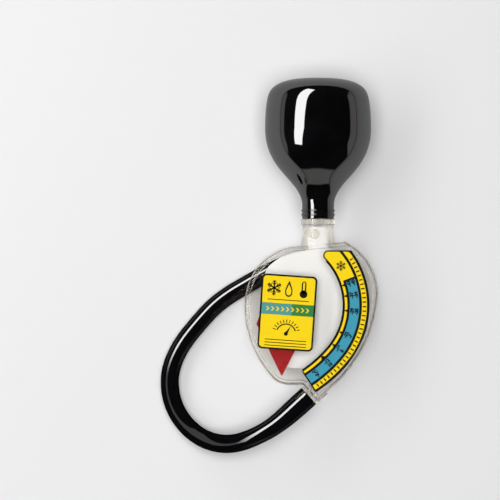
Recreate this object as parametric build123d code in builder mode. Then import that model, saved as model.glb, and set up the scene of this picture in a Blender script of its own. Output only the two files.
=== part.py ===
from build123d import *
from math import asin, cos, degrees, radians, sin, tan
import os

# A pointer-type antifreeze tester that lies on its back: squeeze bulb, clear case and hose.
# Millimetres, +Z up. The dial faces up, the bulb points along +Y, and the floor is at zero.
# Places on the case are measured from the pointer's pivot, and depths from the seam.

# Case
case_thickness = 18.0
case_wall = 2.0
seam_lip = 0.8
seam_lip_depth = 0.8
case_edge_radius = 2.0
chamber_edge_radius = 0.8
case_left = 17.6
case_right = 51.7
case_top = 30.5
case_bottom = 41.6
case_corner_radius = 1.5
case_foot_radius = 12.0
left_side_shares = ((0.12, 1.0), (-0.47, 0.755), (-1.0, 0.13), (0.01, -1.0))
right_side_shares = ((0.532, -1.034), (0.851, -0.546), (1.0, 0.1), (0.665, 1.085))

# Channel that leads the coolant from the spout round the rim to the top of the chamber
channel_wall = 1.2
channel_wall_radius = 42.5
channel_start_angle = -71.0
channel_end_angle = 38.0

# Neck, collar and the nipple that holds the bulb
neck_offset = 20.6
neck_radius = 8.0
neck_bore_radius = 6.5
neck_bore_start = 25.0
neck_top = 41.0
neck_root_flare = 3.0
neck_root_swell = 0.4
neck_root_rounding = 6.0
neck_root_start = 27.5
neck_root_end = 36.0
collar_radius = 8.8
collar_thickness = 3.1
collar_edge_radius = 0.6
nipple_radius = 5.0
nipple_barb_radius = 5.4
nipple_barb_length = 3.0
nipple_barb_count = 3
nipple_bore_radius = 3.2
nipple_length = 10.5

# Spout
spout_angle = 42.0
spout_x = 15.9
spout_y = -46.9
spout_boss_radius = 5.7
spout_boss_length = 1.0
spout_radius = 3.6
spout_barb_radius = 4.1
spout_barb_length = 2.8
spout_barb_count = 3
spout_length = 9.0
spout_bore_radius = 2.4
spout_bore_depth = 8.0

# Hose
hose_diameter = 9.5
hose_bore = 6.35
hose_stretched_diameter = 11.3
hose_stretched_bore = 8.0
hose_stretched_length = 9.5
hose_taper_length = 3.5
hose_first_run = 9.0
hose_arc_share = 0.45

# Squeeze bulb
bulb_diameter = 54.5
bulb_height = 65.1
bulb_wall = 2.6
bulb_neck_length = 7.0
bulb_bead_radius = 0.5
bulb_bead_spacing = 2.1
bulb_bead_count = 2
bulb_fit_gap = 0.2
bulb_seat_gap = 0.1
bulb_belly_share = 0.594
bulb_lower_shares = ((0.097, 0.366), (0.2, 0.55), (0.35, 0.835))
bulb_upper_shares = ((0.799, 0.975), (0.914, 0.885), (0.977, 0.64))

# Dial plate
plate_thickness = 1.0
plate_front = -2.4
plate_left = 8.3
plate_top = 40.0
plate_bottom = 33.7
plate_channel_gap = 1.3
plate_right_top_angle = 42.0
plate_corner_radius = 2.0
plate_shoulder_radius = 8.0
plate_hole_gap = 0.1
plate_foot_left_share = (0.087, -0.955)
plate_shoulder_shares = ((-1.0, 0.32), (-0.55, 0.505), (0.036, 0.615), (0.218, 0.675))
plate_tab_shares = ((0.374, 0.7), (0.379, 1.0), (0.621, 1.0), (0.622, 0.73))

# Rivet through the plate's tab, and the posts under the plate
rivet_x = 18.8
rivet_y = 36.4
rivet_head_radius = 2.5
rivet_head_thickness = 0.8
rivet_head_edge = 0.35
rivet_dimple_radius = 1.1
rivet_dimple_depth = 0.25
rivet_shank_radius = 1.1
rivet_shank_length = 3.2
rivet_post_radius = 2.2
support_post_radius = 1.6
support_post_x = 12.0
support_post_y = -27.0

# Pivot pin and the bosses that hold its ends
pin_radius = 1.0
pin_seat = 2.8
pin_end_gap = 0.1
pin_chamfer = 0.2
pin_fit_gap = 0.02
pin_running_gap = 0.05
boss_radius = 3.2
spigot_radius = 2.1
spigot_stand = 0.2

# Float pointer and its weight
pointer_rest_angle = -87.0
pointer_length = 36.5
pointer_tip_radius = 0.5
pointer_corner_radius = 1.2
pointer_back = 12.0
pointer_back_width = 5.0
pointer_shoulder = 9.2
pointer_left_width = 11.6
pointer_right_width = 16.0
pointer_blade = 2.2
pointer_hub_radius = 3.2
pointer_side_gap = 0.3
weight_radius = 1.5
weight_collar_radius = 2.4
weight_along = 3.0
weight_across = 6.0

# Printed labels on the front of the case
label_thickness = 0.2
label_margin = 0.2
label_corner_radius = 1.0
scale_inner_radius = 33.5
scale_width = 13.2
scale_top_share = 0.836
scale_top_rounding = 2.6
scale_turn_angle = -40.0
scale_end_angle = -57.0
scale_end_offset = 28.3
info_label_width = 28.4
info_label_height = 38.4
info_label_x = 4.7
info_label_y = -3.8
info_label_turn = -4.0
info_label_corner_radius = 2.4

# One overrun serves every cut
overrun = 1.0


def barbs(length, count, pitch, shank, crest):
    """Places along a barbed tube and its radius there; the last barb ends at its length."""
    start = length - count * pitch
    points = [(start, shank)]
    for i in range(count):
        foot = start + i * pitch
        points += [(foot, crest), (foot + pitch, shank)]
    return points


# Depths, heights and places that follow from the sizes
axis_height = bulb_diameter / 2
half_case = case_thickness / 2
half_chamber = half_case - case_wall
post_root = half_chamber + case_wall / 2
neck_root_width = 2 * neck_radius + neck_root_flare
neck_root_depth = 2 * neck_radius + neck_root_swell
collar_top = neck_top + collar_thickness
bulb_rim = collar_top + bulb_seat_gap
bulb_shoulder = bulb_rim + bulb_neck_length
bulb_top = bulb_shoulder + bulb_height
bulb_bore_radius = nipple_barb_radius + bulb_fit_gap
bulb_neck_radius = bulb_bore_radius + bulb_wall
plate_right_radius = channel_wall_radius - plate_channel_gap
scale_top = scale_top_share * scale_inner_radius
plate_back = plate_front - plate_thickness
spigot_top = plate_front + spigot_stand
hub_half = -(spigot_top + pointer_side_gap)
pin_half = pin_seat - spigot_top
spout_barbs = barbs(
    spout_length, spout_barb_count, spout_barb_length, spout_radius, spout_barb_radius
)
nipple_barbs = barbs(
    nipple_length, nipple_barb_count, nipple_barb_length, nipple_radius, nipple_barb_radius
)
spout_sine = sin(radians(spout_angle))
spout_cosine = cos(radians(spout_angle))
spout_drop = max(along * spout_sine + radius * spout_cosine for along, radius in spout_barbs)
pivot_x = (case_left - case_right) / 2
pivot_y = -(bulb_top + spout_y - spout_drop) / 2

# Planes and axes
case_plane = Plane(origin=(pivot_x, pivot_y, axis_height))
pointer_plane = case_plane.rotated((0, 0, pointer_rest_angle))
neck_origin = (pivot_x + neck_offset, pivot_y, axis_height)
neck_plane = Plane(origin=neck_origin, x_dir=(0, 1, 0), z_dir=(0, 0, 1))
neck_axis = Axis(neck_origin, (0, 1, 0))
spout_direction = Vector(-spout_cosine, -spout_sine, 0)
spout_face = Vector(pivot_x + spout_x, pivot_y + spout_y, axis_height)
spout_plane = Plane(origin=spout_face, x_dir=spout_direction, z_dir=(0, 0, 1))
spout_axis = Axis(spout_face, spout_direction)

# The hose's free route, past its straight start on the spout: it comes down to the floor,
# turns back in a wide loop and ends under the case.
hose_start = spout_face + spout_direction * (hose_stretched_length + hose_taper_length)
hose_route = [
    hose_start,
    hose_start + spout_direction * hose_first_run,
    (-28.7, -98.5, 26.0),
    (-41.2, -103.1, 19.8),
    (-54.4, -101.4, 13.6),
    (-65.6, -93.4, 8.4),
    (-72.7, -80.9, 5.5),
    (-73.8, -66.3, 4.75),
    (-68.2, -52.7, 4.75),
    (-58.9, -40.9, 4.75),
    (-47.6, -28.7, 4.75),
    (-29.3, -18.0, 4.75),
    (-15.5, -10.6, 4.75),
    (-0.1, -7.0, 4.75),
    (9.7, -7.0, 4.75),
]


def outline_point(shares, left, right, top, bottom):
    """A point of an outline, from its shares of the sizes on its side of the pivot."""
    x_share, y_share = shares
    x = x_share * (right if x_share > 0 else left)
    y = y_share * (top if y_share > 0 else bottom)
    return (x, y)


def case_point(shares):
    return outline_point(shares, case_left, case_right, case_top, case_bottom)


def plate_point(shares):
    return outline_point(shares, plate_left, plate_right_radius, plate_top, plate_bottom)


def polar(radius, angle):
    return (radius * cos(radians(angle)), radius * sin(radians(angle)))


def curved_side(points):
    """An arc through the first three points, and one that runs on smoothly to the last."""
    first = ThreePointArc(*points[:3])
    TangentArc(points[2], points[3], tangent=first % 1)


def case_outline():
    """The case from the front: curved sides, a flat foot and the slanted end at the spout."""
    across = Vector(spout_sine, -spout_cosine)
    foot = Vector(spout_x, spout_y) + Vector(spout_cosine, spout_sine) * spout_boss_length
    foot_right = foot + across * spout_boss_radius
    foot_left = foot - across * ((foot.Y + case_bottom) / across.Y)
    left_side = [case_point(shares) for shares in left_side_shares]
    right_side = [case_point(shares) for shares in right_side_shares]
    with BuildSketch() as outline:
        with BuildLine():
            curved_side(left_side)
            Polyline(left_side[-1], foot_left, foot_right, right_side[0])
            curved_side(right_side)
            Line(right_side[-1], left_side[0])
        make_face()
        corners = outline.vertices()
        fillet(corners.sort_by_distance(left_side[-1])[0], radius=case_foot_radius)
        corners = outline.vertices()
        ends = [foot_left, foot_right, right_side[0]]
        fillet([corners.sort_by_distance(end)[0] for end in ends], radius=case_corner_radius)
    return outline.sketch


def case_slab(inset, half_depth, edge_radius):
    """The outline drawn in by inset, extruded both ways from the seam, with rounded rims."""
    with BuildPart() as slab:
        with BuildSketch(case_plane):
            add(case_outline())
            offset(amount=-inset)
        extrude(amount=half_depth, both=True)
        rims = slab.edges().group_by(Axis.Z)
        fillet(rims[0] + rims[-1], radius=edge_radius)
    return slab.part


def seam_flange():
    with BuildSketch(case_plane) as flange:
        add(case_outline())
    extrude(flange.sketch, amount=seam_lip_depth / 2, both=True)


def neck_and_nipple():
    """The round neck, its collar and the barbed nipple, turned about the neck's axis."""
    nipple = [(collar_top + along, radius) for along, radius in nipple_barbs]
    with BuildSketch(neck_plane) as section:
        with BuildLine():
            Polyline(
                (neck_root_start, 0),
                (neck_root_start, neck_radius),
                (neck_top, neck_radius),
                (neck_top, collar_radius),
                (collar_top, collar_radius),
                (collar_top, nipple_radius),
                *nipple,
                (collar_top + nipple_length, 0),
                close=True,
            )
        profile = make_face()
        fillet(profile.vertices().group_by(Axis.Y)[-1], radius=collar_edge_radius)
    revolve(section.sketch, axis=neck_axis)


def neck_root():
    """Where the flat case flows into the round neck."""
    across = Plane(origin=neck_origin, x_dir=(1, 0, 0), z_dir=(0, 1, 0))
    with BuildSketch(across.offset(neck_root_start)) as foot:
        RectangleRounded(neck_root_width, neck_root_depth, neck_root_rounding)
    with BuildSketch(across.offset(neck_root_end)) as top:
        Circle(neck_radius)
    loft([foot.sketch, top.sketch])


def spout():
    """The boss on the case's slanted end, with the barbed spout on it."""
    with BuildSketch(spout_plane) as section:
        with BuildLine():
            Polyline(
                (-spout_bore_depth, 0),
                (-spout_bore_depth, spout_boss_radius),
                (0, spout_boss_radius),
                (0, spout_radius),
                *spout_barbs,
                (spout_length, 0),
                close=True,
            )
        make_face()
    revolve(section.sketch, axis=spout_axis)


def bores():
    """The ways for the coolant: through the neck into the bulb, and in through the spout."""
    nipple_end = collar_top + nipple_length + overrun
    with BuildSketch(neck_plane) as neck_bore:
        with BuildLine():
            Polyline(
                (neck_bore_start, 0),
                (neck_bore_start, neck_bore_radius),
                (neck_top, neck_bore_radius),
                (neck_top, nipple_bore_radius),
                (nipple_end, nipple_bore_radius),
                (nipple_end, 0),
                close=True,
            )
        make_face()
    revolve(neck_bore.sketch, axis=neck_axis, mode=Mode.SUBTRACT)
    bore_start = spout_face - spout_direction * spout_bore_depth
    with BuildSketch(Plane(origin=bore_start, z_dir=spout_direction)) as spout_bore:
        Circle(spout_bore_radius)
    bore_length = spout_bore_depth + spout_length + overrun
    extrude(spout_bore.sketch, amount=bore_length, mode=Mode.SUBTRACT)


def channel():
    """The curved wall that makes the coolant rise round the rim before it reaches the chamber."""
    sweep_angle = channel_end_angle - channel_start_angle
    outer_radius = channel_wall_radius + channel_wall
    with BuildSketch(case_plane) as wall:
        with BuildLine():
            outer = CenterArc((0, 0), outer_radius, channel_start_angle, sweep_angle)
            inner = CenterArc((0, 0), channel_wall_radius, channel_start_angle, sweep_angle)
            Line(outer @ 0, inner @ 0)
            Line(outer @ 1, inner @ 1)
        make_face()
    extrude(wall.sketch, amount=half_chamber + case_wall / 4, both=True)


def post(x, y, radius, bottom, top, mode=Mode.ADD):
    """A round post or hole square to the dial, between two depths from the seam."""
    with BuildSketch(case_plane.offset(bottom)) as section:
        with Locations((x, y)):
            Circle(radius)
    extrude(section.sketch, amount=top - bottom, mode=mode)


def bosses_and_posts():
    """What holds the pivot pin's two ends and carries the dial plate."""
    post(0, 0, boss_radius, -post_root, plate_back)
    post(0, 0, spigot_radius, plate_back, spigot_top)
    post(0, 0, boss_radius, hub_half + pointer_side_gap, post_root)
    post(support_post_x, support_post_y, support_post_radius, -post_root, plate_back)
    rivet_post_root = (neck_radius + neck_bore_radius) / 2
    post(rivet_x, rivet_y, rivet_post_radius, -rivet_post_root, plate_back)
    pin_hole_half = pin_half + pin_end_gap
    post(0, 0, pin_radius + pin_fit_gap, -pin_hole_half, pin_hole_half, Mode.SUBTRACT)
    rivet_end = plate_front - rivet_shank_length - pin_end_gap
    rivet_hole = rivet_shank_radius + pin_fit_gap
    post(rivet_x, rivet_y, rivet_hole, rivet_end, plate_back, Mode.SUBTRACT)


os.makedirs("parts", exist_ok=True)

# The clear case is moulded in two halves, welded along the seam
case_body = case_slab(seam_lip, half_case, case_edge_radius)
chamber = case_slab(seam_lip + case_wall, half_chamber, chamber_edge_radius)

with BuildPart() as case:
    add(case_body)
    seam_flange()
    neck_root()
    neck_and_nipple()
    spout()
    add(chamber, mode=Mode.SUBTRACT)
    bores()
    channel()
    bosses_and_posts()

with BuildPart() as front_shell:
    add(case.part)
    split(bisect_by=case_plane, keep=Keep.TOP)
front_shell.part.label = "front_shell"
export_step(front_shell.part, "parts/front_shell.step")

with BuildPart() as rear_shell:
    add(case.part)
    split(bisect_by=case_plane, keep=Keep.BOTTOM)
rear_shell.part.label = "rear_shell"
export_step(rear_shell.part, "parts/rear_shell.step")


def plate_outline():
    """The white plate behind the pointer: a tab up into the neck and a round right edge."""
    foot_right = ((plate_right_radius**2 - plate_bottom**2) ** 0.5, -plate_bottom)
    right_top = polar(plate_right_radius, plate_right_top_angle)
    corners = [plate_foot_left_share, *plate_shoulder_shares, *plate_tab_shares]
    shoulder_radii = [plate_shoulder_radius] * len(plate_shoulder_shares)
    tab_radii = [plate_corner_radius] * len(plate_tab_shares)
    with BuildSketch() as outline:
        with BuildLine():
            FilletPolyline(
                foot_right,
                *[plate_point(shares) for shares in corners],
                right_top,
                radius=[plate_corner_radius, *shoulder_radii, *tab_radii],
            )
            ThreePointArc(right_top, (plate_right_radius, 0), foot_right)
        make_face()
    return outline.sketch


with BuildPart() as dial_plate:
    with BuildSketch(case_plane.offset(plate_back)):
        add(plate_outline())
        Circle(spigot_radius + plate_hole_gap, mode=Mode.SUBTRACT)
        with Locations((rivet_x, rivet_y)):
            Circle(rivet_shank_radius + plate_hole_gap, mode=Mode.SUBTRACT)
    extrude(amount=plate_thickness)
dial_plate.part.label = "dial_plate"
export_step(dial_plate.part, "parts/dial_plate.step")


with BuildPart() as plate_rivet:
    post(rivet_x, rivet_y, rivet_head_radius, plate_front, plate_front + rivet_head_thickness)
    fillet(plate_rivet.edges().group_by(Axis.Z)[-1], radius=rivet_head_edge)
    head_top = plate_front + rivet_head_thickness
    dimple_floor = head_top - rivet_dimple_depth
    post(rivet_x, rivet_y, rivet_dimple_radius, dimple_floor, head_top, Mode.SUBTRACT)
    post(rivet_x, rivet_y, rivet_shank_radius, plate_front - rivet_shank_length, plate_front)
plate_rivet.part.label = "plate_rivet"
export_step(plate_rivet.part, "parts/plate_rivet.step")


with BuildPart() as pivot_pin:
    post(0, 0, pin_radius, -pin_half, pin_half)
    pin_ends = pivot_pin.edges().group_by(Axis.Z)
    chamfer(pin_ends[0] + pin_ends[-1], length=pin_chamfer)
pivot_pin.part.label = "pivot_pin"
export_step(pivot_pin.part, "parts/pivot_pin.step")


def pointer_outline():
    """A broad kite: a long tip, a wide shoulder on each side and a short blunt back."""
    half_back = pointer_back_width / 2
    corner = pointer_corner_radius
    with BuildSketch() as outline:
        with BuildLine():
            FilletPolyline(
                (pointer_length + pointer_tip_radius, 0),
                (pointer_shoulder, pointer_right_width),
                (-pointer_back, half_back),
                (-pointer_back, -half_back),
                (pointer_shoulder, -pointer_left_width),
                radius=[pointer_tip_radius, corner, corner, corner, corner],
                close=True,
            )
        make_face()
    return outline.sketch


def pointer_bosses():
    """The hub at the pivot and the ring that holds the weight."""
    Circle(pointer_hub_radius)
    with Locations((weight_along, weight_across)):
        Circle(weight_collar_radius)


def pointer_holes():
    Circle(pin_radius + pin_running_gap)
    with Locations((weight_along, weight_across)):
        Circle(weight_radius)


with BuildPart() as pointer:
    with BuildSketch(pointer_plane):
        add(pointer_outline())
    extrude(amount=pointer_blade / 2, both=True)
    with BuildSketch(pointer_plane):
        pointer_bosses()
    extrude(amount=hub_half, both=True)
    with BuildSketch(pointer_plane):
        pointer_holes()
    extrude(amount=hub_half + overrun, both=True, mode=Mode.SUBTRACT)
pointer.part.label = "pointer"
export_step(pointer.part, "parts/pointer.step")


with BuildPart() as pointer_weight:
    with BuildSketch(pointer_plane):
        with Locations((weight_along, weight_across)):
            Circle(weight_radius)
    extrude(amount=hub_half, both=True)
pointer_weight.part.label = "pointer_weight"
export_step(pointer_weight.part, "parts/pointer_weight.step")


# The labels keep to the flat part of the case's front, inside its rounded rim
with BuildSketch() as flat_front:
    add(case_outline())
    offset(amount=-(seam_lip + case_edge_radius + label_margin))


def scale_outline():
    """A band round the pivot that runs out straighter at its lower end and has a level top."""
    end_centre = polar(-scale_end_offset, scale_turn_angle)
    end_turn = scale_turn_angle - scale_end_angle
    tops = []
    lower_ends = []
    with BuildSketch() as band:
        with BuildLine():
            for radius in (scale_inner_radius, scale_inner_radius + scale_width):
                turn = degrees(asin(scale_top / radius)) - scale_turn_angle
                upper = CenterArc((0, 0), radius, scale_turn_angle, turn)
                end_radius = radius + scale_end_offset
                lower = CenterArc(end_centre, end_radius, scale_end_angle, end_turn)
                tops.append(upper @ 1)
                lower_ends.append(lower @ 0)
            Line(*tops)
            Line(*lower_ends)
        make_face()
        corners = band.vertices()
        fillet([corners.sort_by_distance(tops[0])[0]], radius=scale_top_rounding)
        corners = band.vertices()
        fillet([corners.sort_by_distance(end)[0] for end in lower_ends], label_corner_radius)
    return band.sketch


with BuildPart() as scale_label:
    with BuildSketch(case_plane.offset(half_case)):
        add(scale_outline())
        add(flat_front.sketch, mode=Mode.INTERSECT)
    extrude(amount=label_thickness)
scale_label.part.label = "scale_label"
export_step(scale_label.part, "parts/scale_label.step")


with BuildPart() as info_label:
    with BuildSketch(case_plane.offset(half_case)):
        with Locations(Location((info_label_x, info_label_y), info_label_turn)):
            RectangleRounded(info_label_width, info_label_height, info_label_corner_radius)
        add(flat_front.sketch, mode=Mode.INTERSECT)
    extrude(amount=label_thickness)
info_label.part.label = "info_label"
export_step(info_label.part, "parts/info_label.step")


def bulb_curve(inset):
    """One side of the bulb, drawn in by inset: up from its neck to the belly and the top."""
    top = bulb_top - inset

    def station(shares):
        height_share, radius_share = shares
        height = bulb_shoulder + height_share * (top - bulb_shoulder)
        return (height, radius_share * bulb_diameter / 2 - inset)

    neck = (bulb_shoulder, bulb_neck_radius - inset)
    belly = station((bulb_belly_share, 1))
    lower = [station(shares) for shares in bulb_lower_shares]
    upper = [station(shares) for shares in bulb_upper_shares]
    Spline(neck, *lower, belly, tangents=((1, 0), (1, 0)))
    Spline(belly, *upper, (top, 0), tangents=((1, 0), (0, -1)))


def bulb_section():
    """The bulb's wall in section, with the neck's bore open at the rim."""
    with BuildSketch() as section:
        with BuildLine():
            bulb_curve(0)
            bulb_curve(bulb_wall)
            Polyline(
                (bulb_shoulder, bulb_neck_radius),
                (bulb_rim, bulb_neck_radius),
                (bulb_rim, bulb_bore_radius),
                (bulb_shoulder, bulb_bore_radius),
            )
            Line((bulb_top - bulb_wall, 0), (bulb_top, 0))
        make_face()
    return section.sketch


with BuildPart() as squeeze_bulb:
    with BuildSketch(neck_plane):
        add(bulb_section())
        for i in range(bulb_bead_count):
            with Locations((bulb_rim + (i + 1) * bulb_bead_spacing, bulb_neck_radius)):
                Circle(bulb_bead_radius)
    revolve(axis=neck_axis)
squeeze_bulb.part.label = "squeeze_bulb"
export_step(squeeze_bulb.part, "parts/squeeze_bulb.step")


def bend_radii(points):
    """The radius of the arc at each corner of a route, as large as its two runs allow."""
    radii = []
    corners = [Vector(point) for point in points]
    for before, here, after in zip(corners, corners[1:], corners[2:]):
        shorter = min((here - before).length, (after - here).length)
        half_turn = radians((here - before).get_angle(after - here)) / 2
        radii.append(hose_arc_share * shorter / tan(half_turn))
    return radii


def hose_sleeve():
    """The hose's end, stretched over the spout's barbs, and its taper."""
    taper_end = hose_stretched_length + hose_taper_length
    with BuildSketch(spout_plane) as section:
        with BuildLine():
            Polyline(
                (0, hose_stretched_bore / 2),
                (0, hose_stretched_diameter / 2),
                (hose_stretched_length, hose_stretched_diameter / 2),
                (taper_end, hose_diameter / 2),
                (taper_end, hose_bore / 2),
                (hose_stretched_length, hose_stretched_bore / 2),
                close=True,
            )
        make_face()
    revolve(section.sketch, axis=spout_axis)


with BuildPart() as hose:
    with BuildLine() as hose_path:
        FilletPolyline(*hose_route, radius=bend_radii(hose_route))
    with BuildSketch(Plane(origin=hose_start, z_dir=spout_direction)) as hose_section:
        Circle(hose_diameter / 2)
        Circle(hose_bore / 2, mode=Mode.SUBTRACT)
    sweep(path=hose_path.wires()[0])
    tube_volume = hose.part.volume
    hose_sleeve()
hose.part.label = "hose"
export_step(hose.part, "parts/hose.step")

path_length = hose_path.wires()[0].length
expected_volume = hose_section.sketch.area * path_length
print("Bends of the hose:", [round(radius) for radius in bend_radii(hose_route)], "mm")
print("Length of the hose:", round(path_length + (hose_start - spout_face).length), "mm")
print("Tube's volume, by section times length:", round(tube_volume / expected_volume, 4))
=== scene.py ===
"""An antifreeze tester of the float pointer kind: squeeze bulb, clear case, dial and suction hose."""

import math

import bmesh
import bpy
import numpy as np
from bpy.props import FloatProperty, FloatVectorProperty, IntProperty, PointerProperty
from mathutils import Matrix, Vector


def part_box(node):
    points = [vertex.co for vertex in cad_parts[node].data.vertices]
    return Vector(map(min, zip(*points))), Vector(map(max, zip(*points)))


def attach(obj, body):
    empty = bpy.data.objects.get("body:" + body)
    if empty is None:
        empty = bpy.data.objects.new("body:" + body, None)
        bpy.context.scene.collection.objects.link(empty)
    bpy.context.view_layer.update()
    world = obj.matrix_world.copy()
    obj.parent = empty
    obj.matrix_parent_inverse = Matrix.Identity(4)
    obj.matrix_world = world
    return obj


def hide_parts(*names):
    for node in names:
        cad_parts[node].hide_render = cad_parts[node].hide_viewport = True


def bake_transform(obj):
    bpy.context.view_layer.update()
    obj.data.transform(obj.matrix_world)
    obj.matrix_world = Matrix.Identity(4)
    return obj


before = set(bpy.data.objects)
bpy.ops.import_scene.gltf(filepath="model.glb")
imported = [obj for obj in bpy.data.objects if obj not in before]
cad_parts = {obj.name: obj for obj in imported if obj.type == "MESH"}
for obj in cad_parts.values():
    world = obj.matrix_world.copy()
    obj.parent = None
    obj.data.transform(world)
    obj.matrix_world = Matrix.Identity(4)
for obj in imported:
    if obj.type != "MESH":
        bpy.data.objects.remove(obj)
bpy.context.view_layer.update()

bl_info = {
    "name": "Antifreeze Tester",
    "version": (1, 0, 0),
    "blender": (4, 5, 0),
    "location": "View3D > Sidebar > Tester",
    "description": "Builds the bulb, hose, prints and finishes of an antifreeze tester on its CAD frame",
    "category": "Object",
}

MM = 0.001


def middle(node):
    """The middle of a CAD node's box."""
    low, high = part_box(node)
    return (low + high) / 2


# Places that the CAD frame gives
PIVOT = middle("pivot_pin")
PRINT_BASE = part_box("scale_label")[1].z
BULB_MIDDLE = middle("squeeze_bulb")
BULB_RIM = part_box("squeeze_bulb")[0].y
BULB_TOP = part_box("squeeze_bulb")[1].y
BULB_RADIUS = (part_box("squeeze_bulb")[1].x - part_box("squeeze_bulb")[0].x) / 2

# The bulb's side, as shares of its height above the neck and of its radius
BULB_NECK_LENGTH = 7.0 * MM
BULB_NECK_RADIUS = 8.2 * MM
BULB_WALL = 2.6 * MM
BULB_LOWER = ((0.097, 0.366), (0.2, 0.55), (0.35, 0.835))
BULB_BELLY = (0.594, 1.0)
BULB_UPPER = ((0.799, 0.975), (0.914, 0.885), (0.977, 0.64))
BULB_BEADS = 2
BULB_BEAD_SPACING = 2.1 * MM

# The hose: where it starts on the spout, how it is stretched there, and its way to its bare end
SPOUT_FACE = Vector((-0.00115, -0.07725, 0.02725))
SPOUT_DIRECTION = Vector((-math.cos(math.radians(42)), -math.sin(math.radians(42)), 0))
SLEEVE_LENGTH = 9.5 * MM
SLEEVE_TAPER = 3.5 * MM
SLEEVE_RADIUS = 5.65 * MM
SLEEVE_BORE = 4.0 * MM
STRETCH_START = 5.0 * MM
STRETCH_END = 34.0 * MM
HOSE_RADIUS = 4.75 * MM
HOSE_BORE = 3.175 * MM
HOSE_EXIT = SPOUT_FACE + SPOUT_DIRECTION * (SLEEVE_LENGTH + SLEEVE_TAPER)
HOSE_ROUTE = (
    tuple(HOSE_EXIT),
    tuple(HOSE_EXIT + SPOUT_DIRECTION * 0.009),
    (-0.0287, -0.0985, 0.026),
    (-0.0412, -0.1031, 0.0198),
    (-0.0544, -0.1014, 0.0136),
    (-0.0656, -0.0934, 0.0084),
    (-0.0727, -0.0809, 0.0055),
    (-0.0738, -0.0663, 0.00475),
    (-0.0682, -0.0527, 0.00475),
    (-0.0589, -0.0409, 0.00475),
    (-0.0476, -0.0287, 0.00475),
    (-0.0293, -0.0180, 0.00475),
    (-0.0155, -0.0106, 0.00475),
    (-0.0001, -0.0070, 0.00475),
    (0.0097, -0.0070, 0.00475),
)

# The scale's bands, as radii from the pivot, and the angles of its notches
SCALE_TURN = -40.0
SCALE_END = -57.0
SCALE_END_OFFSET = 28.3 * MM
SCALE_TOP = 27.3 * MM
BLACK_EDGE = (32.95 * MM, 33.6 * MM)
INNER_BAND = (34.15 * MM, 35.4 * MM)
BLUE_BAND = (36.65 * MM, 41.5 * MM)
OUTER_BAND = (42.85 * MM, 45.4 * MM)
TAB_END = 20.6
NOTCHES = (16.8, 7.6, -4.7, -23.5, -35.7, -45.3)
NUMBERS = (("-43", "-45"), ("-37", "-34"), ("-29", "-20"), ("-22", "-7"), ("-18", "0"), ("-12", "10"))
UNITS_ANGLE = -52.3
UNITS = ("°C", "°F")
NUMBER_ROWS = (37.95 * MM, 40.25 * MM)
FLAKE_ANGLE = 32.0
PRINT_THICKNESS = 0.05 * MM

# The info label's middle from the pivot, its turn and its half sizes
INFO_MIDDLE = PIVOT + Vector((4.7 * MM, -3.8 * MM, 0))
INFO_TURN = math.radians(-4.0)
INFO_HALF = (14.2 * MM, 19.2 * MM)


class Value:
    """A number that changes over a surface; an operator on it adds a Math node."""

    def __init__(self, finish, socket):
        self.finish = finish
        self.socket = socket

    def math(self, operation, first, second=0.0):
        node = self.finish.node("ShaderNodeMath", {"operation": operation}, {0: first, 1: second})
        return Value(self.finish, node.outputs[0])

    def __add__(self, other):
        return self.math("ADD", self, other)

    def __radd__(self, other):
        return self.math("ADD", other, self)

    def __sub__(self, other):
        return self.math("SUBTRACT", self, other)

    def __rsub__(self, other):
        return self.math("SUBTRACT", other, self)

    def __mul__(self, other):
        return self.math("MULTIPLY", self, other)

    def __rmul__(self, other):
        return self.math("MULTIPLY", other, self)

    def __truediv__(self, other):
        return self.math("DIVIDE", self, other)

    def __rtruediv__(self, other):
        return self.math("DIVIDE", other, self)

    def __pow__(self, other):
        return self.math("POWER", self, other)

    def __lt__(self, other):
        return self.math("LESS_THAN", self, other)

    def __gt__(self, other):
        return self.math("GREATER_THAN", self, other)

    def most(self, other):
        return self.math("MAXIMUM", self, other)

    def rise(self, low, high):
        """0 below low, 1 above high, and a smooth step between."""
        node = self.finish.node(
            "ShaderNodeMapRange",
            {"interpolation_type": "SMOOTHSTEP"},
            {"Value": self, "From Min": low, "From Max": high},
        )
        return Value(self.finish, node.outputs["Result"])


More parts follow.
